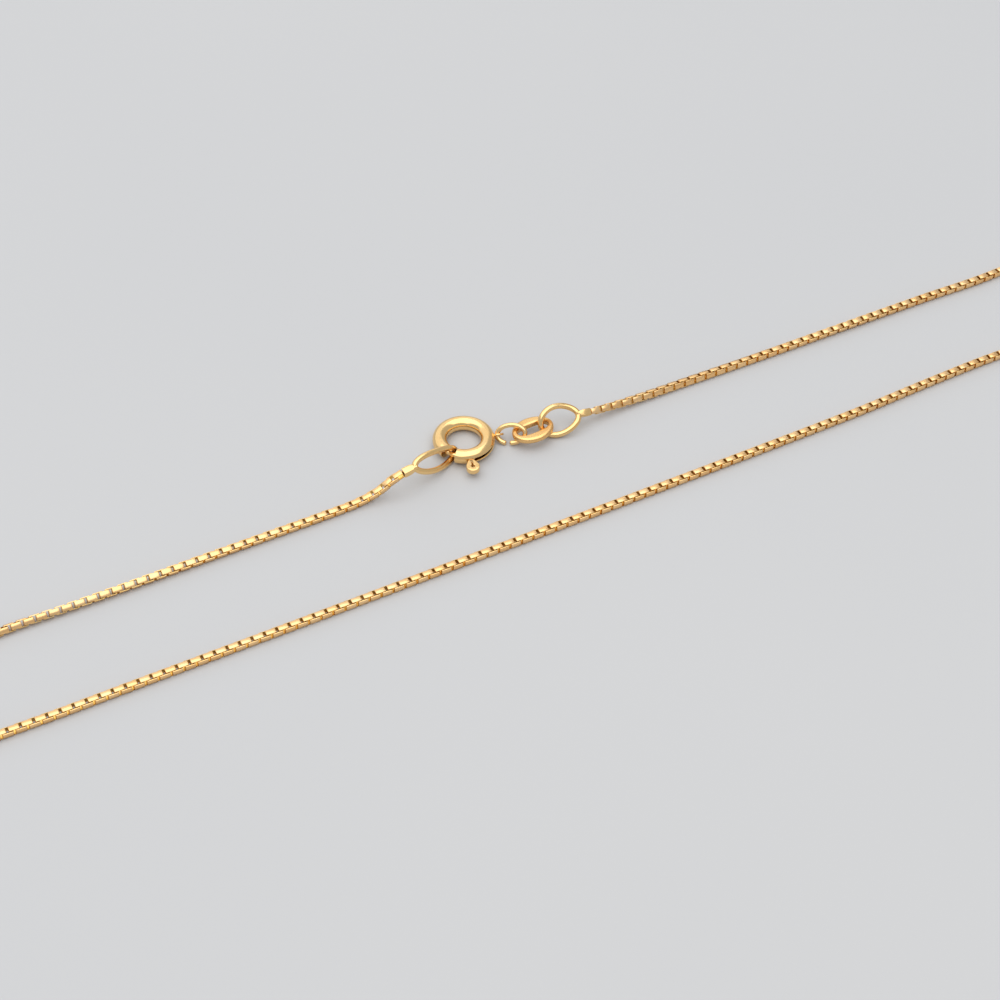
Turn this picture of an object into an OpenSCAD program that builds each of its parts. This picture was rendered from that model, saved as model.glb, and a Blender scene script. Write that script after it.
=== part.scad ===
// Box chain necklace with a spring ring clasp, fastened and lying on a flat surface.
// Millimetres. +X runs along the two straight runs of chain, +Z is up and the surface
// is z = 0. The origin is the middle of the necklace's outline, on the surface.

/* [Chain] */
// Width across one box link, the same both ways
chain_w = 0.70; // [0.5:0.05:1]
// Cut corner of the square chain, as a length along each side
chain_corner = 0.10; // [0.05:0.01:0.15]
// Air left between the chain's last link and its end cap
chain_gap = 0.04; // [0.02:0.01:0.1]

/* [End rings] */
// Wire diameter of the two oval end rings
end_wire = 0.55; // [0.45:0.05:0.55]
// Outer length of the left end ring, squeezed long by wear
left_long = 5.45; // [5.25:0.05:5.6]
// Outer width of the left end ring
left_wide = 2.30; // [2.2:0.02:2.4]
// Outer length of the right end ring
right_long = 4.12; // [4.08:0.02:4.24]
// Outer width of the right end ring
right_wide = 3.06; // [3:0.02:3.2]
// Length of the end cap soldered to each end ring
cap_len = 1.20; // [0.8:0.1:1.6]
// Size of the cap where it meets the ring
cap_tip = 0.56; // [0.46:0.02:0.6]

/* [Clasp ring] */
// Outer diameter of the spring ring
clasp_od = 5.6; // [5.2:0.1:6]
// Outer diameter of the tube that the ring is bent from
tube_d = 1.30; // [1.2:0.05:1.35]
// Wall of that tube
tube_wall = 0.15; // [0.1:0.01:0.2]
// Angle that the missing piece of the ring spans
gap_angle = 28; // [26:1:32]
// Height of the slot that the trigger slides in
slot_h = 0.42; // [0.3:0.02:0.46]
// Angle that the slot runs beyond the trigger
slot_angle = 70; // [56:1:74]

/* [Eyelet] */
// Diameter of the hole in the small eyelet on the ring
eyelet_hole = 0.76; // [0.72:0.02:0.84]
// Metal round that hole
eyelet_wall = 0.16; // [0.13:0.01:0.18]
// Width of the eyelet along the ring
eyelet_w = 0.20; // [0.16:0.01:0.22]

/* [Bolt] */
// Diameter of the tongue that closes the gap
tongue_d = 0.42; // [0.36:0.02:0.44]
// Running clearance of the bolt's guide in the tube
run_clear = 0.03; // [0.02:0.01:0.06]
// Angle that the tongue reaches into the far end of the tube
tongue_reach = 4; // [2:1:6]
// Diameter of the trigger's loop
trigger_d = 1.20; // [1:0.05:1.25]
// Height of the trigger's loop
trigger_h = 0.50; // [0.4:0.05:0.6]
// How far the trigger stands out from the tube
trigger_out = 1.45; // [1.3:0.05:1.6]
// Width of the trigger's neck where it passes through the slot
neck_w = 0.50; // [0.4:0.02:0.6]
// Diameter of the hole in the trigger's loop
trigger_hole = 0.34; // [0.2:0.02:0.4]
// Width of the slit between the trigger's two limbs
trigger_slit = 0.12; // [0.08:0.01:0.16]

/* [Eye ring] */
// Wire diameter of the open eye ring
eye_wire = 0.44; // [0.36:0.02:0.44]
// Outer length of the eye ring
eye_long = 2.95; // [2.9:0.05:3.1]
// Outer width of the eye ring
eye_wide = 2.10; // [2.06:0.02:2.2]
// Half of the angle left open between the wire's ends
eye_open = 13; // [8:1:16]
// How far one end of the wire stands above the other
eye_step = 0.08; // [0:0.02:0.2]

/* [Connector] */
// Outer length of the chunky connector link
link_long = 3.95; // [3.9:0.05:4.1]
// Outer width of the connector link
link_wide = 2.95; // [2.9:0.05:3.1]
// Height of the connector's band
link_h = 0.58; // [0.5:0.02:0.6]
// Thickness of the band along its two sides
link_side = 0.92; // [0.8:0.02:0.92]
// Thickness of the band at its two ends
link_end = 0.44; // [0.36:0.02:0.44]
// How far the middle of the band stands out past its rims
link_ridge = 0.06; // [0.02:0.01:0.08]

/* [Hidden] */

GOLD = [0.86, 0.66, 0.30];
ROUND = 48;

// Spring ring: radius of the tube's centre line, bore, and the angles of the two mouths
ring_r = (clasp_od - tube_d) / 2;
bore_d = tube_d - 2 * tube_wall;
gap_mid = -148;
mouth_left = gap_mid - gap_angle / 2;
mouth_right = gap_mid + gap_angle / 2;
trigger_angle = -103;
neck_angle = 2 * asin(neck_w / clasp_od);
eyelet_angle = -14;

// The clasp leans a little on the end ring's wire, which passes under its tongue
clasp_at = [-3.0, 7.6];
lift_gap = 0.05;
tongue_rise = end_wire + lift_gap + tongue_d / 2 - tube_d / 2;
clasp_z = tube_d / 2 + tongue_rise / 2;
clasp_tilt = asin(tongue_rise / 2 / ring_r);

// How far the eyelet's hole dips past the tube's side, and its lean in degrees
EYELET_SINK = 0.06;
EYELET_LEAN = 45;
eyelet_r = clasp_od / 2 + eyelet_hole / 2 - EYELET_SINK;

// The rings hang on the middle of the clasp's gap and on the middle of its eyelet's hole
gap_at = clasp_at + ring_r * [cos(gap_mid), sin(gap_mid)];
eyelet_at = clasp_at + eyelet_r * [cos(eyelet_angle), sin(eyelet_angle)];
function from_gap(offset) = [gap_at.x + offset.x, gap_at.y + offset.y, offset.z];
function from_eyelet(offset) = [eyelet_at.x + offset.x, eyelet_at.y + offset.y, offset.z];

// Poses of the bent ovals: the point where the ring starts, its heading in plan at the
// start and at the far end, how much it sinks along its length, how far it leans from
// lying flat at the start and at the far end, in degrees, and how much fuller it is
// towards the far end
LEFT_POSE = [from_gap([-4.04, -1.2, 2.14]), [9, 27], 1.45, [50, 84], 0];
RIGHT_POSE = [from_eyelet([7.31, -1.54, 1.33]), [172, 172], 0.23, [-20, -58], 0.11];
EYE_POSE = [from_eyelet([-0.08, -0.01, 0.77]), [-32, -31], -0.25, [49, 53], 0];

// Direction and roll of the two end caps, from the chain towards the ring
LEFT_CAP = [1, 0.06, 0.11];
RIGHT_CAP = [-1, 0, 0.2];
LEFT_ROLL = 6;
RIGHT_ROLL = -41;

// Route of the chain from the left cap round to the right cap: x, y, height of the
// chain's underside above the surface, and the chain's roll in degrees
ROUTE_Z = 2;
ROUTE_ROLL = 3;
chain_route = [
    [-11.2, 5.17, 1.25, -6],
    [-12.4, 5.15, 0.58, -6],
    [-14.2, 5.15, 0.08, -6],
    [-16.5, 5.1, 0, -6],
    [-29, 5.15, 0, -16],
    [-34, 5.15, 0, -26],
    [-40, 5.2, 0, -36],
    [-46, 5.3, 0, -50],
    [-54, 5, 0, -90],
    [-61, 6.6, 0, -90],
    [-65.5, 10.7, 0, -90],
    [-69.4, 14.6, 0, -90],
    [-80, 18, 0, -90],
    [-90.6, 14.6, 0, -90],
    [-97.1, 5.6, 0, -90],
    [-97.1, -5.6, 0, -90],
    [-90.6, -14.6, 0, -90],
    [-80, -18, 0, -90],
    [-69.4, -14.6, 0, -90],
    [-65.5, -10.7, 0, -90],
    [-61, -6.6, 0, -90],
    [-54, -5, 0, -88],
    [-44, -4.9, 0, -87],
    [-20, -5, 0, -90],
    [10, -5.05, 0, -90],
    [30, -5, 0, -90],
    [39, -4.7, 0, -90],
    [46, -4.6, 0, -90],
    [54, -5, 0, -90],
    [61, -6.6, 0, -90],
    [65.5, -10.7, 0, -90],
    [69.4, -14.6, 0, -90],
    [80, -18, 0, -90],
    [90.6, -14.6, 0, -90],
    [97.1, -5.6, 0, -90],
    [97.1, 5.6, 0, -90],
    [90.6, 14.6, 0, -90],
    [80, 18, 0, -90],
    [69.4, 14.6, 0, -90],
    [65.5, 10.7, 0, -90],
    [61, 6.6, 0, -90],
    [54, 5, 0, -90],
    [44, 5.05, 0, -93],
    [36, 5.1, 0, -104],
    [27, 5.2, 0, -86],
    [18, 5.35, 0, -69],
    [14, 5.38, 0.08, -58],
    [11.5, 5.38, 0.24, -49]
];

// Middle of the connector link, and its roll, dip towards +X and heading in degrees
link_at = from_eyelet([2.92, -1.18, 1.0]);
link_turn = [-3, 0, 2];

// Play at the slot's end, and the length of the socket that takes the tongue, in degrees
slot_play = 1;
SOCKET = 14;

// Gap left between the trigger's loop and the tube, the eye wire's opening along its
// oval, and the rounding of the connector's rims
TRIGGER_GAP = 0.06;
TONGUE_END = 0.96;
EYE_GAP = 281;
BAND_SOFT = 0.08;

OVAL_STEPS = 40;
WIRE_SIDES = 12;

function unit(v) = v / norm(v);
function heading(a) = [cos(a), sin(a), 0];
function ease(s, pair) = pair[0] + (pair[1] - pair[0]) * s;

// A round wire's outline, and the chain's square outline with its corners cut
function disc(d, sides) = [for (i = [0:sides - 1]) d / 2 * [cos(360 * i / sides), sin(360 * i / sides)]];
function cut_square(w, cut) = [for (q = [0:3]) for (e = [-1, 1])
    let (p = [w / 2, e * (w / 2 - cut)], c = cos(90 * q), s = sin(90 * q))
    [p.x * c - p.y * s, p.x * s + p.y * c]];

// One cross-section: the outline set across the path at p, with ref as its first axis
function section(p, along, ref, outline) =
    let (n = unit(ref - (ref * along) * along), b = cross(along, n))
    [for (q = outline) p + q.x * n + q.y * b];

// Skin over a row of sections, closed into a ring or capped at both ends
module skin(sections, closed = false) {
    n = len(sections);
    m = len(sections[0]);
    sides = [for (i = [0:n - (closed ? 1 : 2)]) for (j = [0:m - 1])
        let (a = i * m, b = ((i + 1) % n) * m, k = (j + 1) % m) [a + j, a + k, b + k, b + j]];
    caps = closed ? [] : [[for (j = [m - 1:-1:0]) j], [for (j = [0:m - 1]) (n - 1) * m + j]];
    faces = [for (f = concat(sides, caps)) [for (i = [len(f) - 1:-1:0]) f[i]]];
    polyhedron([for (s = sections) each s], faces, 4);
}

// Centre line of a bent oval: t = 0 at its start, 180 at its far end
function oval_axis(pose, length, s) =
    let (a = length / 2 * heading(pose[1][0]), b = length / 2 * heading(pose[1][1]))
    pose[0] + 2 * s * a + s * s * (b - a) - [0, 0, s * pose[2]];
function oval_across(pose, s) =
    let (h = ease(s, pose[1]), l = ease(s, pose[3])) [-sin(h) * cos(l), cos(h) * cos(l), sin(l)];
function oval_point(pose, length, width, t) =
    let (s = (1 - cos(t)) / 2, fuller = 1 - pose[4] * cos(t))
    oval_axis(pose, length, s) + width / 2 * sin(t) * fuller * oval_across(pose, s);

// Wire bent along an oval from angle t0 to t1; the step lifts its last end above its first
module oval_wire(pose, long, wide, wire, t0 = 0, t1 = 360, step = 0) {
    closed = t1 - t0 >= 360;
    count = closed ? OVAL_STEPS : OVAL_STEPS + 1;
    middle = oval_axis(pose, long - wire, 0.5);
    function at(t) = oval_point(pose, long - wire, wide - wire, t)
        + [0, 0, step * ((t - t0) / (t1 - t0) - 0.5)];
    skin([for (i = [0:count - 1])
        let (t = t0 + (t1 - t0) * i / OVAL_STEPS, p = at(t), along = unit(at(t + 1) - at(t - 1)))
        section(p, along, p - middle, disc(wire, WIRE_SIDES))], closed);
}

// Where a cap begins, or the chain a gap before it
function cap_base(pose, way, gap) = pose[0] - (cap_len + gap) * unit(way);

// Cap soldered to the start of an end ring: as wide as the chain, tapering to the ring
module end_cap(pose, way, roll) {
    along = unit(way);
    tip = pose[0] + end_wire / 2 * along;
    base = cap_base(pose, way, 0);
    waist = base + 0.55 * cap_len * along;
    up = [0, 0, 1];
    side = unit(cross(up, along));
    lift = cross(along, side);
    ref = cos(roll) * side + sin(roll) * lift;
    skin([for (p = [[base, chain_w], [waist, chain_w], [tip, cap_tip]])
        section(p[0], along, ref, cut_square(p[1], chain_corner))]);
}

module left_end_ring() {
    color(GOLD) {
        oval_wire(LEFT_POSE, left_long, left_wide, end_wire);
        end_cap(LEFT_POSE, LEFT_CAP, LEFT_ROLL);
    }
}

module right_end_ring() {
    color(GOLD) {
        oval_wire(RIGHT_POSE, right_long, right_wide, end_wire);
        end_cap(RIGHT_POSE, RIGHT_CAP, RIGHT_ROLL);
    }
}

// Everything that belongs to the clasp stands in its own frame, leaning as one
module clasp_place() {
    translate([clasp_at.x, clasp_at.y, clasp_z])
        rotate(a = clasp_tilt, v = heading(gap_mid - 90))
            children();
}

// Part of a ring round the clasp's axis, between two angles
module arc(from, to) {
    rotate([0, 0, from]) rotate_extrude(angle = to - from, $fn = 4 * ROUND) children();
}

module tube_arc(from, to, d) {
    arc(from, to) translate([ring_r, 0]) circle(d = d, $fn = ROUND);
}

module clasp_ring() {
    color(GOLD) clasp_place() difference() {
        union() {
            tube_arc(mouth_right, mouth_left + 360, tube_d);
            eyelet();
        }
        tube_arc(mouth_right - 1, mouth_left + 360 - SOCKET, bore_d);
        tube_arc(mouth_left + 359 - SOCKET, mouth_left + 361, tongue_d + 2 * run_clear);
        arc(trigger_angle - neck_angle / 2 - slot_play, trigger_angle + neck_angle / 2 + slot_angle)
            translate([ring_r, -slot_h / 2]) square([tube_d, slot_h]);
    }
}

// Small eye soldered to the outside of the ring, its hole along the ring
module eyelet() {
    rotate([0, 0, eyelet_angle]) translate([eyelet_r, 0, 0]) rotate([90 + EYELET_LEAN, 0, 0]) difference() {
        cylinder(d = eyelet_hole + 2 * eyelet_wall, h = eyelet_w, center = true, $fn = ROUND);
        cylinder(d = eyelet_hole, h = 2 * eyelet_w, center = true, $fn = ROUND);
    }
}

// Tongue, the fatter guide behind it and the trigger's loop outside the slot
module clasp_bolt() {
    guide_from = mouth_right + 6;
    guide_to = trigger_angle + 8;
    color(GOLD) clasp_place() {
        tube_arc(mouth_left - tongue_reach, guide_from + 1, tongue_d);
        rotate([0, 0, mouth_left - tongue_reach]) translate([ring_r, 0, 0])
            sphere(d = TONGUE_END * tongue_d, $fn = ROUND);
        tube_arc(guide_from, guide_to, bore_d - 2 * run_clear);
        rotate([0, 0, trigger_angle]) trigger();
    }
}

// Neck through the slot and a loop of strip folded round a slit and a small hole
module trigger() {
    outside = clasp_od / 2 + TRIGGER_GAP;
    loop_at = clasp_od / 2 + trigger_out - trigger_d / 2;
    neck_h = slot_h - 2 * run_clear;
    translate([ring_r, -neck_w / 2, -neck_h / 2]) cube([outside + 0.1 - ring_r, neck_w, neck_h]);
    translate([0, 0, -trigger_h / 2]) linear_extrude(trigger_h) difference() {
        union() {
            translate([loop_at, 0]) circle(d = trigger_d, $fn = ROUND);
            polygon([[outside, -neck_w / 2], [loop_at, -0.45 * trigger_d],
                     [loop_at, 0.45 * trigger_d], [outside, neck_w / 2]]);
        }
        translate([outside + 0.1, -trigger_slit / 2]) square([loop_at - outside, trigger_slit]);
        translate([loop_at, 0]) circle(d = trigger_hole, $fn = ROUND);
    }
}

module clasp_eye() {
    from = EYE_GAP + eye_open - 360;
    color(GOLD) oval_wire(EYE_POSE, eye_long, eye_wide, eye_wire, from, EYE_GAP - eye_open, eye_step);
}

// Stout oval band, flat inside and ridged outside
module connector_link() {
    half = [link_long / 2, link_wide / 2];
    top = link_h / 2;
    color(GOLD) translate(link_at) rotate(link_turn) skin([for (i = [0:OVAL_STEPS - 1])
        let (t = 360 * i / OVAL_STEPS, out = unit([cos(t) / half.x, sin(t) / half.y, 0]),
             wall = link_end + (link_side - link_end) * sin(t) * sin(t), rim = wall - link_ridge,
             inner = [half.x * cos(t), half.y * sin(t), 0] - wall * out,
             outline = [[0, top - BAND_SOFT], [BAND_SOFT, top], [rim - BAND_SOFT, top],
                        [rim, top - BAND_SOFT], [wall, 0], [rim, BAND_SOFT - top],
                        [rim - BAND_SOFT, -top], [BAND_SOFT, -top], [0, BAND_SOFT - top]])
        [for (q = outline) inner + q.x * out + [0, 0, q.y]]], true);
}

// Centre line of the chain: the route between the two caps, and its rolls
function rest(roll) = let (c = abs(cos(roll)), s = abs(sin(roll)), h = chain_w / 2, k = h - chain_corner)
    max(h * c + k * s, k * c + h * s);
chain_points = concat([cap_base(LEFT_POSE, LEFT_CAP, chain_gap)],
    [for (r = chain_route) [r.x, r.y, r[ROUTE_Z] + rest(r[ROUTE_ROLL])]],
    [cap_base(RIGHT_POSE, RIGHT_CAP, chain_gap)]);
chain_rolls = concat([-LEFT_ROLL], [for (r = chain_route) r[ROUTE_ROLL]], [RIGHT_ROLL]);
chain_last = len(chain_points) - 1;

// Smooth curve through those points: cubic spans, each scaled by its own length
function way(i) = i == 0 ? -unit(LEFT_CAP) : i == chain_last ? unit(RIGHT_CAP)
    : unit(chain_points[i + 1] - chain_points[i - 1]);
function span_point(i, f) = let (a = chain_points[i], b = chain_points[i + 1], l = norm(b - a))
    (1 + 2 * f) * (1 - f) * (1 - f) * a + f * (1 - f) * (1 - f) * l * way(i)
    + f * f * (3 - 2 * f) * b - f * f * (1 - f) * l * way(i + 1);
function span_way(i, f) = let (a = chain_points[i], b = chain_points[i + 1], l = norm(b - a))
    unit(6 * f * (1 - f) * (b - a) / l + (1 - f) * (1 - 3 * f) * way(i) + f * (3 * f - 2) * way(i + 1));
function span_steps(i) = 1 + floor(acos(min(1, way(i) * way(i + 1))) / 18);

module box_chain() {
    stops = concat([for (i = [0:chain_last - 1]) for (k = [0:span_steps(i) - 1]) [i, k / span_steps(i)]],
                   [[chain_last - 1, 1]]);
    color(GOLD) skin([for (s = stops)
        let (along = span_way(s.x, s.y), side = unit(cross([0, 0, 1], along)),
             roll = ease(s.y, [chain_rolls[s.x], chain_rolls[s.x + 1]]),
             ref = cos(roll) * side + sin(roll) * cross(along, side))
        section(span_point(s.x, s.y), along, ref, cut_square(chain_w, chain_corner))]);
}

box_chain();
left_end_ring();
right_end_ring();
clasp_ring();
clasp_bolt();
clasp_eye();
connector_link();
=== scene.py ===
"""A gold box chain with a spring ring clasp, fastened and lying on a pale surface.

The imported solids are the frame. Every piece here stands for one of them and keeps its
place: the chain is made of links along the same route, the rings, clasp and connector
are swept again with finer sections. Metres, +Z up, the surface is z = 0.
"""

import math
from typing import NamedTuple

import bmesh
import bpy
from mathutils import Matrix, Quaternion, Vector


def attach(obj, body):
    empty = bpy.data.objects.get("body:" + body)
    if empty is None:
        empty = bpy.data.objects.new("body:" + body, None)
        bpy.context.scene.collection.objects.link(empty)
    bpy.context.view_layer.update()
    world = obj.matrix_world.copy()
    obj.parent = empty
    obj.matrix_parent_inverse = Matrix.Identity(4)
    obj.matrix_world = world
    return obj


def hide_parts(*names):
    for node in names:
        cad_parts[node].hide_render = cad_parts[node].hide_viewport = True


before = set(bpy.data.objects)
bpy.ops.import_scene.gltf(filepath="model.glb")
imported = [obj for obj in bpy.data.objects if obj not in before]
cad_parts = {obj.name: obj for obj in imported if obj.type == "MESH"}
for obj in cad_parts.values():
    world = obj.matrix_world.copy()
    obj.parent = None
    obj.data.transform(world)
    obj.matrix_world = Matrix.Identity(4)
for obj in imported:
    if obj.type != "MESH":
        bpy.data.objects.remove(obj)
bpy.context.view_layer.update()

UP = Vector((0, 0, 1))


def heading(degrees):
    """Level direction, counted from +X towards +Y."""
    return Vector((math.cos(math.radians(degrees)), math.sin(math.radians(degrees)), 0))


class Oval(NamedTuple):
    """Centre line of a ring's wire: an oval that bends, sinks and leans along its length."""

    start: Vector
    headings: tuple  # degrees, at the start and at the far end
    sink: float  # how far the far end lies below the start
    leans: tuple  # degrees, at the start and at the far end
    fuller: float  # how much the far half outgrows a plain oval, as a share
    length: float
    width: float


# Chain: its square, the solid's cut corner, the air before each cap and the links' pitch
CHAIN_W = 0.00070
CHAIN_BREAK = 0.0001
CHAIN_GAP = 0.00004
PITCH = 0.00055
ROUTE_STEPS = 24

# One link, a strip folded into a loop
LINK_LONG = 0.00091
LINK_CORNER = 0.00004
CORNER_STEPS = 2
STRIP_THICK = 0.00007
STRIP_WIDE = 0.00049
STRIP_BREAK = 0.00002

# How loosely each link hangs, how far all of them lean along +X, and their random draws
LINK_TILT = math.radians(0.8)
LINK_LEAN = math.radians(2.5)
LINK_SEED = 11
TONE_DRAW = 7

# Clasp: the left end ring's wire, under the tongue, lifts its middle and makes it lean
CLASP_OD = 0.0056
TUBE_D = 0.0013
TUBE_WALL = 0.00015
RING_R = (CLASP_OD - TUBE_D) / 2
CLASP_LIFT = 0.00008
CLASP_AT = Vector((-0.003, 0.0076, TUBE_D / 2 + CLASP_LIFT))
CLASP_TILT = math.asin(CLASP_LIFT / RING_R)
BROKEN_EDGE = 0.00003

# Gap, socket and slot of the tube, angles in degrees round the clasp. The far mouth is the
# left one, reached the long way round.
GAP_MID = -148
GAP_ANGLE = 28
MOUTH_LEFT = GAP_MID - GAP_ANGLE / 2
MOUTH_RIGHT = GAP_MID + GAP_ANGLE / 2
FAR_MOUTH = MOUTH_LEFT + 360
SOCKET = 14
TRIGGER_ANGLE = -103
SLOT_H = 0.00042
SLOT_ANGLE = 70
SLOT_PLAY = 1

# Eyelet, soldered a little into the tube
EYELET_ANGLE = -14
EYELET_LEAN = 45
EYELET_HOLE = 0.00076
EYELET_WALL = 0.00016
EYELET_W = 0.00020
EYELET_SUNK = 0.00006
EYELET_R = CLASP_OD / 2 + EYELET_HOLE / 2 - EYELET_SUNK

# Bolt: tongue and guide, and how many degrees each runs past a mouth or the trigger
RUN_CLEAR = 0.00003
TONGUE_D = 0.00042
TONGUE_REACH = 4
TONGUE_ROOT = 7
GUIDE_D = TUBE_D - 2 * TUBE_WALL - 2 * RUN_CLEAR
GUIDE_FROM = 6
GUIDE_PAST = 8

# Trigger: its loop, clear of the tube, and the neck that runs into it. The arcs of the loop
# and of its hole run this many degrees to each side.
TRIGGER_D = 0.0012
TRIGGER_H = 0.0005
TRIGGER_OUT = 0.00145
TRIGGER_HOLE = 0.00034
TRIGGER_SLIT = 0.00012
TRIGGER_SOFT = 0.00006
TRIGGER_CLEAR = 0.00006
TRIGGER_FROM = CLASP_OD / 2 + TRIGGER_CLEAR
LOOP_ANGLE = 115
HOLE_ANGLE = 159
NECK_W = 0.0005
NECK_INTO = 0.0001
NECK_MIDDLE = 0.0003

# End rings: caps point from the chain to the ring, rolls are in degrees
END_WIRE = 0.00055
CAP_LEN = 0.0012
CAP_TIP = 0.00056
CAP_BREAK = 0.00008
LEFT_CAP = Vector((1, 0.06, 0.11)).normalized()
RIGHT_CAP = Vector((-1, 0, 0.2)).normalized()
LEFT_ROLL = 6
RIGHT_ROLL = -41

# Places on the surface below the gap's middle and below the eyelet
GAP_AT = Vector((CLASP_AT.x, CLASP_AT.y, 0)) + RING_R * heading(GAP_MID)
EYELET_AT = Vector((CLASP_AT.x, CLASP_AT.y, 0)) + EYELET_R * heading(EYELET_ANGLE)

LEFT_OVAL = Oval(
    start=GAP_AT + Vector((-0.00404, -0.0012, 0.00214)),
    headings=(9, 27),
    sink=0.00145,
    leans=(50, 84),
    fuller=0,
    length=0.0049,
    width=0.00175,
)
RIGHT_OVAL = Oval(
    start=EYELET_AT + Vector((0.00731, -0.00154, 0.00133)),
    headings=(172, 172),
    sink=0.00023,
    leans=(-20, -58),
    fuller=0.11,
    length=0.00357,
    width=0.00251,
)

# Open eye ring: its wire runs between two angles, one end above the other
EYE_WIRE = 0.00044
EYE_OVAL = Oval(
    start=EYELET_AT + Vector((-0.00008, -0.00001, 0.00077)),
    headings=(-32, -31),
    sink=-0.00025,
    leans=(49, 53),
    fuller=0,
    length=0.00251,
    width=0.00166,
)
EYE_ENDS = (-66, 268)
EYE_STEP = 0.00008

# Connector: turns in degrees about X, Y and Z, then length, width and height of its band,
# the band's thickness at its sides and ends, and how far its outside is crowned
LINK_AT = EYELET_AT + Vector((0.00292, -0.00118, 0.001))
LINK_TURN = (-3, 0, 2)
LINK_SIZE = (0.00395, 0.00295, 0.00058)
LINK_SIDE = 0.00092
LINK_END = 0.00044
LINK_RIDGE = 0.00006

# Fineness of the meshes: steps along a piece and sides round it
OVAL_STEPS = 96
WIRE_SIDES = 20
CAP_SIDES = 32
CONNECTOR_STEPS = 112
CONNECTOR_SIDES = 28
EYELET_STEPS = 56
EYELET_SIDES = 16
BOLT_SIDES = 32
TONGUE_STEPS = 40
GUIDE_STEPS = 24
NECK_SIDES = 24
LOOP_STEPS = 40
HOLE_STEPS = 24
TUBE_STEPS_TO_SLOT = 12
TUBE_STEPS_IN_SLOT = 40
TUBE_STEPS_PAST_SLOT = 120
SLOT_SIDES = 4
WALL_SIDES = 44

# How square a section is, from an oval at 2 upwards
CONNECTOR_SQUARE = 4.5
EYELET_SQUARE = 3.2
NECK_SQUARE = 7

# Points nearer to each other than this are one
MERGE_UNDER = 1e-7

# Domed end of an open wire: angles up the dome, and its depth as a share of a half ball's
DOME_ANGLES = (25, 50, 72, 86)
DOME_DEPTH = 0.6

# Route of the chain between its caps: x, y, height of its underside, roll in degrees
CHAIN_ROUTE = [
    (-0.0112, 0.00517, 0.00125, -6),
    (-0.0124, 0.00515, 0.00058, -6),
    (-0.0142, 0.00515, 0.00008, -6),
    (-0.0165, 0.0051, 0, -6),
    (-0.029, 0.00515, 0, -16),
    (-0.034, 0.00515, 0, -26),
    (-0.04, 0.0052, 0, -36),
    (-0.046, 0.0053, 0, -50),
    (-0.054, 0.005, 0, -90),
    (-0.061, 0.0066, 0, -90),
    (-0.0655, 0.0107, 0, -90),
    (-0.0694, 0.0146, 0, -90),
    (-0.08, 0.018, 0, -90),
    (-0.0906, 0.0146, 0, -90),
    (-0.0971, 0.0056, 0, -90),
    (-0.0971, -0.0056, 0, -90),
    (-0.0906, -0.0146, 0, -90),
    (-0.08, -0.018, 0, -90),
    (-0.0694, -0.0146, 0, -90),
    (-0.0655, -0.0107, 0, -90),
    (-0.061, -0.0066, 0, -90),
    (-0.054, -0.005, 0, -88),
    (-0.044, -0.0049, 0, -87),
    (-0.02, -0.005, 0, -90),
    (0.01, -0.00505, 0, -90),
    (0.03, -0.005, 0, -90),
    (0.039, -0.0047, 0, -90),
    (0.046, -0.0046, 0, -90),
    (0.054, -0.005, 0, -90),
    (0.061, -0.0066, 0, -90),
    (0.0655, -0.0107, 0, -90),
    (0.0694, -0.0146, 0, -90),
    (0.08, -0.018, 0, -90),
    (0.0906, -0.0146, 0, -90),
    (0.0971, -0.0056, 0, -90),
    (0.0971, 0.0056, 0, -90),
    (0.0906, 0.0146, 0, -90),
    (0.08, 0.018, 0, -90),
    (0.0694, 0.0146, 0, -90),
    (0.0655, 0.0107, 0, -90),
    (0.061, 0.0066, 0, -90),
    (0.054, 0.005, 0, -90),
    (0.044, 0.00505, 0, -93),
    (0.036, 0.0051, 0, -104),
    (0.027, 0.0052, 0, -86),
    (0.018, 0.00535, 0, -69),
    (0.014, 0.00538, 0.00008, -58),
    (0.0115, 0.00538, 0.00024, -49),
]

# Painted shade: the gold's colour is multiplied by these in the narrow insides, where shade falls
LINK_SHADE_COLOUR = (0.95, 1.0, 0.62)
TUBE_SHADE_COLOUR = (0.50, 0.46, 0.30)

# How much painted shade a point gets: less on a link's end plates, half hidden by its
# neighbours, and on the last stations of the tube's bore, lit through the mouth
FULL_SHADE = 1.0
PLATE_SHADE = 0.6
MOUTH_SHADE = 0.3
MOUTH_STATIONS = 5

# Gold: scales of its drift of tone, its wear and its grain, the grain's share of the relief,
# a link's own tone as a share of its colour, and how much that tone roughens it
DRIFT_SCALE = 420
WEAR_SCALE = 2600
GRAIN_SCALE = 9000
GRAIN_SHARE = 0.4
TONE_SHARE = 0.4
TONE_DULLS = 0.06
BUMP_STRENGTH = 0.12
BUMP_DEPTH = 0.00002

# Setting: half of the table, its clouds, the light of the room, and each lamp's place, aim
# and size
TABLE_HALF = 3.0
CLOUD_SCALE = 9
ROOM_COLOUR = (0.97, 0.98, 1.0, 1)
ROOM_STRENGTH = 0.54
OVERHEAD = ((-0.06, -0.02, 0.60), (-0.06, 0, 0), (0.9, 1.0))
OVERHEAD_POWER = 3.9
BEHIND = ((-0.10, 0.85, 0.50), (0, 0, 0), (2.0, 0.7))
BEHIND_POWER = 2.2

# Camera: millimetres of its lens and sensor, its place, and its angles in degrees
LENS = 77.4
SENSOR = 36
NEAR, FAR = 0.01, 10
CAMERA_AT = (-0.060138, -0.113213, 0.139032)
LOOKS_DOWN = 47.6
TURNS_RIGHT = 26.7


# Materials


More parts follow.
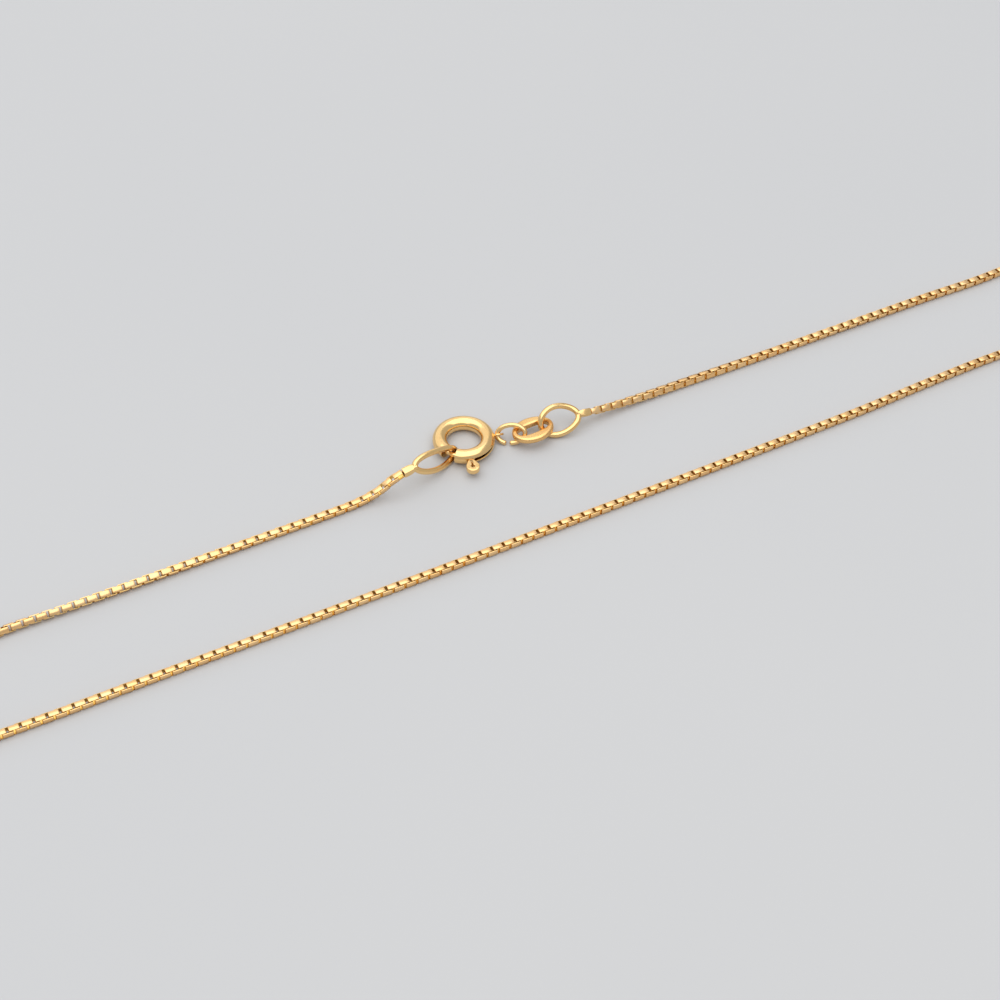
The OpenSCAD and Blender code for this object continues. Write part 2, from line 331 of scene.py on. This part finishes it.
class Value:
    """A socket of a node tree. Operators on it add the tree's Math nodes."""

    def __init__(self, maker, socket):
        self.maker, self.socket = maker, socket

    def _math(self, operation, left, right):
        return self.maker.node("ShaderNodeMath", {"operation": operation}, {0: left, 1: right})

    def __add__(self, other):
        return self._math("ADD", self, other)

    def __radd__(self, other):
        return self._math("ADD", other, self)

    def __sub__(self, other):
        return self._math("SUBTRACT", self, other)

    def __rsub__(self, other):
        return self._math("SUBTRACT", other, self)

    def __mul__(self, other):
        return self._math("MULTIPLY", self, other)

    def __rmul__(self, other):
        return self._math("MULTIPLY", other, self)


class Maker:
    """Adds nodes to a tree: a type, its settings, then the values or links of its sockets.

    A socket goes by its name, or by its place where several share a name.
    """

    def __init__(self, tree):
        self.tree = tree

    def node(self, kind, settings=None, inputs=None, output=0):
        made = self.tree.nodes.new(kind)
        for name, value in (settings or {}).items():
            if name == "stops":
                self._stops(made.color_ramp, value)
            else:
                setattr(made, name, value)
        for key, value in (inputs or {}).items():
            if isinstance(value, Value):
                self.tree.links.new(value.socket, made.inputs[key])
            else:
                made.inputs[key].default_value = value
        return Value(self, made.outputs[output] if made.outputs else None)

    @staticmethod
    def _stops(ramp, stops):
        while len(ramp.elements) < len(stops):
            ramp.elements.new(1)
        for element, (at, colour) in zip(ramp.elements, stops):
            element.position = at
            element.color = (*colour, 1)


def finish_of(name):
    """A new, empty material and the maker of its nodes."""
    material = bpy.data.materials.new(name)
    material.use_nodes = True
    material.node_tree.nodes.clear()
    return material, Maker(material.node_tree)


def surface(make, inputs):
    shader = make.node("ShaderNodeBsdfPrincipled", inputs=inputs)
    make.node("ShaderNodeOutputMaterial", inputs={"Surface": shader})


def noise(make, place, scale, **more):
    return make.node("ShaderNodeTexNoise", inputs={"Vector": place, "Scale": scale, **more})


def attribute(make, name):
    return make.node("ShaderNodeAttribute", {"attribute_name": name}, output="Fac")


def colour_ramp(make, stops, share):
    return make.node("ShaderNodeValToRGB", {"stops": stops}, {"Fac": share})


def polished_gold(name, pale, deep, roughness, worn, shade_colour, tone=None):
    """Yellow gold: a slow drift of tone, soft wear in the polish and painted shade in its insides.
    """
    material, make = finish_of(name)
    place = make.node("ShaderNodeTexCoord", output="Object")
    drift = noise(make, place, DRIFT_SCALE, Detail=2)
    wear = noise(make, place, WEAR_SCALE, Detail=3, Roughness=0.6)
    grain = noise(make, place, GRAIN_SCALE, Detail=2)
    share = drift
    polish = wear * worn + (roughness - worn / 2)
    if tone is not None:
        own = attribute(make, tone)
        share = drift * (1 - TONE_SHARE) + own * TONE_SHARE
        polish = polish + own * TONE_DULLS
    colour = colour_ramp(make, [(0.3, deep), (0.7, pale)], share)
    # Painted shade: the colour is multiplied towards a darker tint on points marked as shaded
    # insides
    depth = attribute(make, "inside")
    painted_shade_tint = colour_ramp(make, [(0.2, (1, 1, 1)), (0.9, shade_colour)], depth)
    shaded = make.node(
        "ShaderNodeMix",
        {"data_type": "RGBA", "blend_type": "MULTIPLY"},
        {"Factor": 1.0, 6: colour, 7: painted_shade_tint},
        output=2,
    )
    relief = grain * GRAIN_SHARE + wear * (1 - GRAIN_SHARE)
    bump = make.node(
        "ShaderNodeBump",
        inputs={"Strength": BUMP_STRENGTH, "Distance": BUMP_DEPTH, "Height": relief},
    )
    surface(make, {"Base Color": shaded, "Metallic": 1.0, "Roughness": polish, "Normal": bump})
    return material


def pale_surface():
    """The table: faint clouds of two cool greys."""
    material, make = finish_of("pale table")
    place = make.node("ShaderNodeTexCoord", output="Object")
    cloud = noise(make, place, CLOUD_SCALE, Detail=2)
    stops = [(0.3, (0.539, 0.543, 0.550)), (0.7, (0.558, 0.560, 0.563))]
    colour = colour_ramp(make, stops, cloud)
    surface(make, {"Base Color": colour, "Roughness": 0.7, "Specular IOR Level": 0.25})
    return material


# Objects and meshes


def placed(name, data):
    made = bpy.data.objects.new(name, data)
    bpy.context.scene.collection.objects.link(made)
    return made


def plain_mesh(piece):
    """The mesh that a piece's modifier or curve settings make."""
    bpy.context.view_layer.update()
    graph = bpy.context.evaluated_depsgraph_get()
    return bpy.data.meshes.new_from_object(piece.evaluated_get(graph))


def mesh_object(name, points, faces, material, smooth_under=35, inside=None):
    """An object of these faces; edges flatter than smooth_under degrees are smooth."""
    mesh = bpy.data.meshes.new(name)
    mesh.from_pydata([tuple(p) for p in points], [], faces)
    # Painted shade, one share for each point, read by the gold's material
    depth = mesh.attributes.new("inside", "FLOAT", "POINT")
    depth.data.foreach_set("value", inside or [0.0] * len(points))
    mesh.materials.append(material)
    mesh.shade_smooth()
    mesh.set_sharp_from_angle(angle=math.radians(smooth_under))
    return placed(name, mesh)


def skin(sections, closed=False):
    """Points and faces over a row of sections, closed into a ring or capped at both ends."""
    n, m = len(sections), len(sections[0])
    faces = []
    for i in range(n if closed else n - 1):
        a, b = i * m, (i + 1) % n * m
        faces += [(a + j, a + (j + 1) % m, b + (j + 1) % m, b + j) for j in range(m)]
    if not closed:
        faces += [tuple(range(m - 1, -1, -1)), tuple((n - 1) * m + j for j in range(m))]
    return [p for s in sections for p in s], faces


def turned(faces):
    """The same faces seen from their other side."""
    return [tuple(reversed(face)) for face in faces]


def merged(parts):
    """Several (points, faces) as one."""
    points, faces = [], []
    for more, joined in parts:
        faces += [tuple(i + len(points) for i in face) for face in joined]
        points += more
    return points, faces


def spread(first, last, steps):
    """Even steps from first towards last, which is left to what follows."""
    return [first + (last - first) * i / steps for i in range(steps)]


def section(at, along, ref, outline):
    """An outline set across a direction, its x axis turned to ref."""
    n = (ref - ref.dot(along) * along).normalized()
    b = along.cross(n)
    return [at + x * n + y * b for x, y in outline]


def squircle(w, h, power, sides):
    """Outline between an oval (power 2) and a square (a high power)."""
    points = []
    for i in range(sides):
        c, s = math.cos(math.tau * i / sides), math.sin(math.tau * i / sides)
        grow = (abs(c) ** power + abs(s) ** power) ** (-1 / power)
        points.append((w / 2 * c * grow, h / 2 * s * grow))
    return points


def dome(end, outward, diameter):
    """Shrinking sections past an end of a wire, outward being 1 or -1 along the wire."""
    at, along, _ = end
    rows = []
    for degrees in DOME_ANGLES:
        a = math.radians(degrees)
        past = math.sin(a) * DOME_DEPTH * diameter / 2
        rows.append((at + outward * past * along, along, diameter * math.cos(a)))
    return rows


def wire(path, diameter, sides=WIRE_SIDES, closed=True, middle=None):
    """A round wire along a path of points, with domed ends where it is open."""
    n = len(path)
    rows = []
    for i, at in enumerate(path):
        before = path[i - 1] if closed or i else path[0]
        after = path[(i + 1) % n] if closed or i < n - 1 else path[-1]
        rows.append((at, (after - before).normalized(), diameter))
    if not closed:
        start = dome(rows[0], -1, diameter)
        rows = start[::-1] + rows + dome(rows[-1], 1, diameter)
    if middle is None:
        middle = sum(path, Vector()) / n
    sections = [
        section(at, along, at - middle, squircle(across, across, 2, sides))
        for at, along, across in rows
    ]
    return skin(sections, closed)


# The chain


def rest_height(roll):
    """Height of the chain's centre line when it lies on a corner or side, cut corners and all."""
    c, s = abs(math.cos(math.radians(roll))), abs(math.sin(math.radians(roll)))
    half = CHAIN_W / 2
    cut = half - CHAIN_BREAK
    return max(half * c + cut * s, cut * c + half * s)


def chain_path():
    """Points along the chain's centre line and its roll there, as the solid has them."""
    points = [LEFT_OVAL.start - (CAP_LEN + CHAIN_GAP) * LEFT_CAP]
    points += [Vector((x, y, lift + rest_height(roll))) for x, y, lift, roll in CHAIN_ROUTE]
    points += [RIGHT_OVAL.start - (CAP_LEN + CHAIN_GAP) * RIGHT_CAP]
    rolls = [-LEFT_ROLL] + [roll for _, _, _, roll in CHAIN_ROUTE] + [RIGHT_ROLL]
    ways = [-LEFT_CAP]
    ways += [(after - before).normalized() for before, after in zip(points, points[2:])]
    ways += [RIGHT_CAP]
    path = []
    for i in range(len(points) - 1):
        a, b = points[i], points[i + 1]
        length = (b - a).length
        for k in range(ROUTE_STEPS):
            f = k / ROUTE_STEPS
            at = (
                (1 + 2 * f) * (1 - f) ** 2 * a
                + f * (1 - f) ** 2 * length * ways[i]
                + f * f * (3 - 2 * f) * b
                - f * f * (1 - f) * length * ways[i + 1]
            )
            path.append((at, rolls[i] + (rolls[i + 1] - rolls[i]) * f))
    return path + [(points[-1], rolls[-1])]


def box_link(material):
    """One link: a strip folded into a square loop, its outer edges broken."""
    t, w, e = STRIP_THICK / 2, STRIP_WIDE / 2, STRIP_BREAK
    strip = [(-w, -t), (w, -t), (w, t - e), (w - e, t), (-w + e, t), (-w, t - e)]
    half_long = (LINK_LONG - STRIP_THICK) / 2 - LINK_CORNER
    half_high = (CHAIN_W - STRIP_THICK) / 2 - LINK_CORNER
    sections, inside = [], []
    for quarter, (x, z) in enumerate(((1, 1), (-1, 1), (-1, -1), (1, -1))):
        for step in range(CORNER_STEPS + 1):
            a = math.radians(90 * (quarter + step / CORNER_STEPS))
            out = Vector((math.cos(a), 0, math.sin(a)))
            at = Vector((half_long * x, 0, half_high * z)) + LINK_CORNER * out
            sections.append([at + Vector((0, side, 0)) + depth * out for side, depth in strip])
            # Painted shade: full on the strip's inner faces, partial on the end plates' outer faces,
            # half hidden by the neighbouring links
            outer = PLATE_SHADE if abs(out.x) > 0.9 else 0.0
            inside += [FULL_SHADE if depth < 0 else outer for _, depth in strip]
    points, faces = skin(sections, closed=True)
    return mesh_object(
        "box link", points, turned(faces), material, smooth_under=48, inside=inside
    )


def link_tree():
    """Sets links along a curve, each turned a quarter from the last, loose and leaning one way."""
    tree = bpy.data.node_groups.new("links along a chain", "GeometryNodeTree")
    for name, kind in (
        ("Geometry", "Geometry"),
        ("Link", "Object"),
        ("Metal", "Material"),
        ("Pitch", "Float"),
        ("End inset", "Float"),
        ("Tilt", "Float"),
        ("Lean", "Float"),
        ("Seed", "Int"),
    ):
        tree.interface.new_socket(name, in_out="INPUT", socket_type=f"NodeSocket{kind}")
    tree.interface.new_socket("Geometry", in_out="OUTPUT", socket_type="NodeSocketGeometry")
    make = Maker(tree)
    given = tree.nodes.new("NodeGroupInput")
    want = {socket.name: Value(make, socket) for socket in given.outputs if socket.name}

    def cross(left, right):
        return make.node("ShaderNodeVectorMath", {"operation": "CROSS_PRODUCT"}, {0: left, 1: right})

    def draw(low, offset):
        """A number for each link between low and 1, from the seed and an offset."""
        return make.node(
            "FunctionNodeRandomValue",
            {"data_type": "FLOAT"},
            {2: low, 3: 1.0, "Seed": want["Seed"] + offset},
            output=1,
        )

    def loose(offset):
        return draw(-1.0, offset) * want["Tilt"]

    curve = make.node("GeometryNodeMeshToCurve", inputs={"Mesh": want["Geometry"]})
    length = make.node("GeometryNodeCurveLength", inputs={"Curve": curve})
    trimmed = make.node(
        "GeometryNodeTrimCurve",
        {"mode": "LENGTH"},
        {"Curve": curve, 4: want["End inset"], 5: length - want["End inset"]},
    )
    places = make.node(
        "GeometryNodeResampleCurve",
        {"mode": "LENGTH"},
        {"Curve": trimmed, "Length": want["Pitch"]},
    )

    along = make.node("GeometryNodeInputTangent")
    eastward = make.node("ShaderNodeSeparateXYZ", inputs={"Vector": along})
    level = make.node(
        "FunctionNodeAxesToRotation",
        {"primary_axis": "X", "secondary_axis": "Z"},
        {"Primary Axis": along, "Secondary Axis": cross(along, cross(tuple(UP), along))},
    )
    index = make.node("GeometryNodeInputIndex")
    odd = make.node("ShaderNodeMath", {"operation": "MODULO"}, {0: index, 1: 2.0})
    roll = make.node("GeometryNodeInputNamedAttribute", {"data_type": "FLOAT"}, {"Name": "roll"})
    turn = make.node(
        "ShaderNodeCombineXYZ",
        inputs={
            "X": roll + odd * (math.pi / 2) + loose(0),
            "Y": loose(1) + want["Lean"] * eastward,
            "Z": loose(2),
        },
    )
    own = make.node("FunctionNodeEulerToRotation", inputs={"Euler": turn})
    rotation = make.node(
        "FunctionNodeRotateRotation",
        {"rotation_space": "LOCAL"},
        {"Rotation": level, "Rotate By": own},
    )

    link = make.node(
        "GeometryNodeObjectInfo",
        {"transform_space": "ORIGINAL"},
        {"Object": want["Link"]},
        output="Geometry",
    )
    links = make.node(
        "GeometryNodeInstanceOnPoints",
        inputs={"Points": places, "Instance": link, "Rotation": rotation},
    )
    toned = make.node(
        "GeometryNodeStoreNamedAttribute",
        {"data_type": "FLOAT", "domain": "INSTANCE"},
        {"Geometry": links, "Name": "link_tone", "Value": draw(0.0, TONE_DRAW)},
    )
    real = make.node("GeometryNodeRealizeInstances", inputs={"Geometry": toned})
    metal = {"Geometry": real, "Material": want["Metal"]}
    dressed = make.node("GeometryNodeSetMaterial", inputs=metal)
    make.node("NodeGroupOutput", inputs={"Geometry": dressed})
    return tree


def box_chain(material):
    path = chain_path()
    mesh = bpy.data.meshes.new("chain route")
    edges = [(i, i + 1) for i in range(len(path) - 1)]
    mesh.from_pydata([tuple(at) for at, _ in path], edges, [])
    rolls = mesh.attributes.new("roll", "FLOAT", "POINT")
    rolls.data.foreach_set("value", [math.radians(roll) for _, roll in path])
    made = placed("chain", mesh)
    link = box_link(material)

    tree = link_tree()
    links = made.modifiers.new("links", "NODES")
    links.node_group = tree
    settings = {
        "Link": link,
        "Metal": material,
        "Pitch": PITCH,
        "End inset": LINK_LONG / 2,
        "Tilt": LINK_TILT,
        "Lean": LINK_LEAN,
        "Seed": LINK_SEED,
    }
    for item in tree.interface.items_tree:
        if item.in_out == "INPUT" and item.name in settings:
            links[item.identifier] = settings[item.name]
    made.update_tag()
    shape = plain_mesh(made)
    made.modifiers.remove(links)
    made.data = shape
    bpy.data.objects.remove(link)
    return made


# The rings


def oval_point(oval, t):
    """A point of a ring's centre line, t running round it from its start."""
    s = (1 - math.cos(t)) / 2
    first, last = oval.headings
    a, b = oval.length / 2 * heading(first), oval.length / 2 * heading(last)
    axis = oval.start + 2 * s * a + s * s * (b - a) - Vector((0, 0, s * oval.sink))
    h = math.radians(first + (last - first) * s)
    lean = math.radians(oval.leans[0] + (oval.leans[1] - oval.leans[0]) * s)
    across = Vector((-math.sin(h) * math.cos(lean), math.cos(h) * math.cos(lean), math.sin(lean)))
    return axis + oval.width / 2 * math.sin(t) * (1 - oval.fuller * math.cos(t)) * across


def oval_path(oval, first=0, last=360, rise=0.0):
    """Points round a ring, whole or between two angles, the last one raised above the first."""
    span = math.radians(last - first)
    count = OVAL_STEPS if last - first >= 360 else OVAL_STEPS + 1
    path = []
    for i in range(count):
        lift = Vector((0, 0, rise * (i / OVAL_STEPS - 0.5)))
        path.append(oval_point(oval, math.radians(first) + span * i / OVAL_STEPS) + lift)
    return path


def end_cap(start, along, roll):
    """Square cap, as wide as the chain, drawn in to the ring that it is soldered to."""
    side = UP.cross(along).normalized()
    lift = along.cross(side)
    ref = math.cos(math.radians(roll)) * side + math.sin(math.radians(roll)) * lift
    # Share of the cap's length, width there, and how square it is there
    rows = (
        (0.0, CHAIN_W - CAP_BREAK, 9),
        (0.03, CHAIN_W - CAP_BREAK / 4, 9),
        (0.08, CHAIN_W, 9),
        (0.55, CHAIN_W, 9),
        (0.75, 0.92 * CHAIN_W, 7),
        (0.9, 0.84 * CHAIN_W, 5),
        (1.0, 0.80 * CHAIN_W, 3),
        (1.12, CAP_TIP, 2.4),
        (1.2, 0.6 * CAP_TIP, 2.2),
    )
    sections = []
    for share, width, power in rows:
        at = start - (1 - share) * CAP_LEN * along
        sections.append(section(at, along, ref, squircle(width, width, power, CAP_SIDES)))
    return skin(sections)


def end_ring(name, oval, along, roll, material):
    ring = wire(oval_path(oval), END_WIRE)
    return mesh_object(name, *merged([ring, end_cap(oval.start, along, roll)]), material)


def eye_ring(material):
    path = oval_path(EYE_OVAL, *EYE_ENDS, rise=EYE_STEP)
    return mesh_object("eye ring", *wire(path, EYE_WIRE, closed=False), material)


def connector(material):
    """Stout oval band, flat inside, crowned outside, its rims softened."""
    long, wide, high = LINK_SIZE
    turn = (
        Matrix.Rotation(math.radians(LINK_TURN[2]), 4, "Z")
        @ Matrix.Rotation(math.radians(LINK_TURN[1]), 4, "Y")
        @ Matrix.Rotation(math.radians(LINK_TURN[0]), 4, "X")
    )
    outline = squircle(1, 1, CONNECTOR_SQUARE, CONNECTOR_SIDES)
    sections = []
    for i in range(CONNECTOR_STEPS):
        t = math.tau * i / CONNECTOR_STEPS
        out = Vector((math.cos(t) / long, math.sin(t) / wide, 0)).normalized()
        wall = LINK_END + (LINK_SIDE - LINK_END) * math.sin(t) ** 2
        inner = Vector((long / 2 * math.cos(t), wide / 2 * math.sin(t), 0)) - wall * out
        row = []
        for x, y in outline:
            depth = (x + 0.5) * (wall - LINK_RIDGE * 4 * y * y)
            row.append(LINK_AT + turn @ (inner + depth * out + Vector((0, 0, y * high))))
        sections.append(row)
    points, faces = skin(sections, closed=True)
    return mesh_object("connector link", points, turned(faces), material, smooth_under=50)


# The clasp


def in_clasp(p):
    """A point of the clasp's own frame, leaning on the end ring's wire as the solid does."""
    return CLASP_AT + Quaternion(heading(GAP_MID - 90), CLASP_TILT) @ Vector(p)


def ring_point(angle, radius, height):
    return in_clasp(radius * heading(angle) + Vector((0, 0, height)))


def clasp_tube():
    """Bent tube with two open mouths and the slot's window, and how much painted shade each point
    gets.

    An outer and an inner skin of stations round the clasp by points round the tube, joined
    by rims at the mouths and round the window.
    """
    neck = 2 * math.degrees(math.asin(NECK_W / CLASP_OD))
    slot_from = TRIGGER_ANGLE - neck / 2 - SLOT_PLAY
    slot_to = TRIGGER_ANGLE + neck / 2 + SLOT_ANGLE
    outer, inner = TUBE_D / 2, TUBE_D / 2 - TUBE_WALL
    lip = math.degrees(math.asin(SLOT_H / 2 / outer))
    stations = spread(MOUTH_RIGHT, slot_from, TUBE_STEPS_TO_SLOT)
    stations += spread(slot_from, slot_to, TUBE_STEPS_IN_SLOT)
    stations += spread(slot_to, FAR_MOUTH, TUBE_STEPS_PAST_SLOT) + [FAR_MOUTH]
    rounds = spread(-lip, lip, SLOT_SIDES) + spread(lip, 360 - lip, WALL_SIDES)
    n, m = len(stations), len(rounds)

    def shell(radius_at):
        points = []
        for angle in stations:
            reach = radius_at(angle)
            for a in map(math.radians, rounds):
                points.append(ring_point(angle, RING_R + reach * math.cos(a), reach * math.sin(a)))
        return points

    def bore(angle):
        return inner if angle < FAR_MOUTH - SOCKET else TONGUE_D / 2 + RUN_CLEAR

    def open_at(i, j):
        beside_slot = TUBE_STEPS_TO_SLOT <= i < TUBE_STEPS_TO_SLOT + TUBE_STEPS_IN_SLOT
        return beside_slot and j < SLOT_SIDES

    points = shell(lambda angle: outer) + shell(bore)
    far = n * m
    faces = []
    for i in range(n - 1):
        for j in range(m):
            if open_at(i, j):
                continue
            k = (j + 1) % m
            a, b, c, d = i * m + j, i * m + k, (i + 1) * m + k, (i + 1) * m + j
            faces += [(a, b, c, d), (far + d, far + c, far + b, far + a)]
            for (u, v), beyond in (
                ((a, d), (i, (j - 1) % m)),
                ((c, b), (i, k)),
                ((b, a), (i - 1, j)),
                ((d, c), (i + 1, j)),
            ):
                if not 0 <= beyond[0] < n - 1 or open_at(*beyond):
                    faces.append((u, v, far + v, far + u))
    # Painted shade: full along the bore, less on its last stations, where light comes in through the
    # mouth
    lit = MOUTH_STATIONS * m
    inside = [0.0] * far + [FULL_SHADE] * (far - lit) + [MOUTH_SHADE] * lit
    return points, turned(faces), inside


def eyelet():
    """Small ring of softly squared wire, soldered to the outside of the tube, leaning."""
    turn = Matrix.Rotation(math.radians(EYELET_ANGLE), 4, "Z") @ Matrix.Translation((EYELET_R, 0, 0))
    turn = turn @ Matrix.Rotation(math.radians(90 + EYELET_LEAN), 4, "X")
    outline = squircle(EYELET_WALL, EYELET_W, EYELET_SQUARE, EYELET_SIDES)
    sections = []
    for i in range(EYELET_STEPS):
        t = math.tau * i / EYELET_STEPS
        out = Vector((math.cos(t), math.sin(t), 0))
        middle = (EYELET_HOLE + EYELET_WALL) / 2 * out
        row = [in_clasp(turn @ (middle + x * out + Vector((0, 0, y)))) for x, y in outline]
        sections.append(row)
    points, faces = skin(sections, closed=True)
    return points, turned(faces)


def spring_ring(material):
    *tube, inside = clasp_tube()
    eye = eyelet()
    # The eyelet gets no painted shade
    inside += [0.0] * len(eye[0])
    points, faces = merged([tube, eye])
    made = mesh_object(
        "spring ring", points, faces, material, smooth_under=40, inside=inside
    )
    edges = made.modifiers.new("broken edges", "BEVEL")
    edges.width = BROKEN_EDGE
    edges.segments = 2
    edges.limit_method = "ANGLE"
    edges.angle_limit = math.radians(50)
    return made


def arc_points(middle, radius, first, last, steps):
    """Flat points on an arc, its middle on the x axis and its ends in degrees."""
    angles = [math.radians(first + (last - first) * i / steps) for i in range(steps + 1)]
    return [(middle + radius * math.cos(a), radius * math.sin(a)) for a in angles]


def trigger():
    """Loop of strip folded round a slit and a small hole, standing on its neck."""
    middle = CLASP_OD / 2 + TRIGGER_OUT - TRIGGER_D / 2
    neck, slit = NECK_W / 2, TRIGGER_SLIT / 2
    outline = [(TRIGGER_FROM, neck), (TRIGGER_FROM, -neck)]
    outline += arc_points(middle, TRIGGER_D / 2, -LOOP_ANGLE, LOOP_ANGLE, LOOP_STEPS)
    opening = [(TRIGGER_FROM + NECK_INTO, -slit), (TRIGGER_FROM + NECK_INTO, slit)]
    opening += arc_points(middle, TRIGGER_HOLE / 2, HOLE_ANGLE, -HOLE_ANGLE, HOLE_STEPS)
    curve = bpy.data.curves.new("trigger outline", "CURVE")
    curve.dimensions = "2D"
    curve.fill_mode = "BOTH"
    curve.extrude = TRIGGER_H / 2 - TRIGGER_SOFT
    curve.bevel_depth = TRIGGER_SOFT
    curve.bevel_resolution = 3
    curve.offset = -TRIGGER_SOFT
    for row in (outline, opening):
        spline = curve.splines.new("POLY")
        spline.points.add(len(row) - 1)
        for point, (x, y) in zip(spline.points, row):
            point.co = (x, y, 0, 1)
        spline.use_cyclic_u = True
    holder = placed("trigger outline", curve)
    mesh = plain_mesh(holder)
    joined = bmesh.new()
    joined.from_mesh(mesh)
    bmesh.ops.remove_doubles(joined, verts=joined.verts, dist=MERGE_UNDER)
    bmesh.ops.recalc_face_normals(joined, faces=joined.faces)
    joined.to_mesh(mesh)
    joined.free()
    turn = Matrix.Rotation(math.radians(TRIGGER_ANGLE), 4, "Z")
    points = [in_clasp(turn @ v.co) for v in mesh.vertices]
    faces = [tuple(f.vertices) for f in mesh.polygons]
    bpy.data.objects.remove(holder)
    return points, faces


def arc_wire(first, last, diameter, steps):
    """A round wire along the tube's centre line, between two angles."""
    path = [ring_point(first + (last - first) * i / steps, RING_R, 0) for i in range(steps + 1)]
    return wire(path, diameter, BOLT_SIDES, closed=False, middle=in_clasp((0, 0, 0)))


def trigger_neck():
    """Strip from the guide through the slot into the trigger's loop."""
    turn = Matrix.Rotation(math.radians(TRIGGER_ANGLE), 4, "Z")
    outline = squircle(NECK_W, SLOT_H - 2 * RUN_CLEAR, NECK_SQUARE, NECK_SIDES)
    sections = []
    for x in (RING_R, RING_R + NECK_MIDDLE, TRIGGER_FROM + NECK_INTO):
        sections.append([in_clasp(turn @ Vector((x, y, z))) for y, z in outline])
    return skin(sections)


def bolt(material):
    parts = [
        arc_wire(MOUTH_LEFT - TONGUE_REACH, MOUTH_RIGHT + TONGUE_ROOT, TONGUE_D, TONGUE_STEPS),
        arc_wire(MOUTH_RIGHT + GUIDE_FROM, TRIGGER_ANGLE + GUIDE_PAST, GUIDE_D, GUIDE_STEPS),
        trigger_neck(),
        trigger(),
    ]
    return mesh_object("bolt", *merged(parts), material)


# The setting


def floor(material):
    corners = [(x * TABLE_HALF, y * TABLE_HALF, 0) for x, y in ((-1, -1), (1, -1), (1, 1), (-1, 1))]
    mesh_object("table top", corners, [(0, 1, 2, 3)], material)


def softbox(name, at, aim, size, power):
    lamp = bpy.data.lights.new(name, "AREA")
    lamp.shape = "RECTANGLE"
    lamp.size, lamp.size_y = size
    lamp.energy = power
    made = placed(name, lamp)
    made.location = at
    made.rotation_euler = (Vector(aim) - Vector(at)).to_track_quat("-Z", "Y").to_euler()


def studio():
    bpy.context.scene.view_settings.view_transform = "Standard"
    world = bpy.data.worlds.new("studio")
    bpy.context.scene.world = world
    world.use_nodes = True
    background = world.node_tree.nodes["Background"]
    background.inputs["Color"].default_value = ROOM_COLOUR
    background.inputs["Strength"].default_value = ROOM_STRENGTH
    softbox("overhead", *OVERHEAD, OVERHEAD_POWER)
    softbox("behind", *BEHIND, BEHIND_POWER)


def camera():
    lens = bpy.data.cameras.new("camera")
    lens.lens = LENS
    lens.sensor_width = SENSOR
    lens.clip_start = NEAR
    lens.clip_end = FAR
    made = placed("camera", lens)
    made.location = CAMERA_AT
    made.rotation_euler = (math.radians(90 - LOOKS_DOWN), 0, math.radians(-TURNS_RIGHT))
    bpy.context.scene.camera = made


chain_gold = polished_gold(
    "chain gold",
    pale=(0.98, 0.66, 0.33),
    deep=(0.94, 0.58, 0.25),
    roughness=0.27,
    worn=0.10,
    shade_colour=LINK_SHADE_COLOUR,
    tone="link_tone",
)
clasp_gold = polished_gold(
    "clasp gold",
    pale=(0.96, 0.67, 0.31),
    deep=(0.91, 0.59, 0.245),
    roughness=0.20,
    worn=0.12,
    shade_colour=TUBE_SHADE_COLOUR,
)
connector_gold = polished_gold(
    "connector gold",
    pale=(0.92, 0.59, 0.245),
    deep=(0.84, 0.49, 0.185),
    roughness=0.27,
    worn=0.16,
    shade_colour=TUBE_SHADE_COLOUR,
)

chain = box_chain(chain_gold)
left_ring = end_ring("left end ring", LEFT_OVAL, LEFT_CAP, LEFT_ROLL, clasp_gold)
right_ring = end_ring("right end ring", RIGHT_OVAL, RIGHT_CAP, RIGHT_ROLL, clasp_gold)

# Each piece, the CAD node that it stands for, the body that it moves with and its slot
DRESSED = (
    (chain, "box_chain", "necklace", "chain_gold"),
    (left_ring, "left_end_ring", "necklace", "clasp_gold"),
    (right_ring, "right_end_ring", "necklace", "clasp_gold"),
    (spring_ring(clasp_gold), "clasp_ring", "necklace", "clasp_gold"),
    (bolt(clasp_gold), "clasp_bolt", "bolt", "clasp_gold"),
    (eye_ring(clasp_gold), "clasp_eye", "necklace", "clasp_gold"),
    (connector(connector_gold), "connector_link", "necklace", "clasp_gold"),
)
for piece, node, body, metal in DRESSED:
    piece.name = piece.name.replace(" ", "_")
    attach(piece, body)
    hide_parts(node)

floor(pale_surface())
studio()
camera()
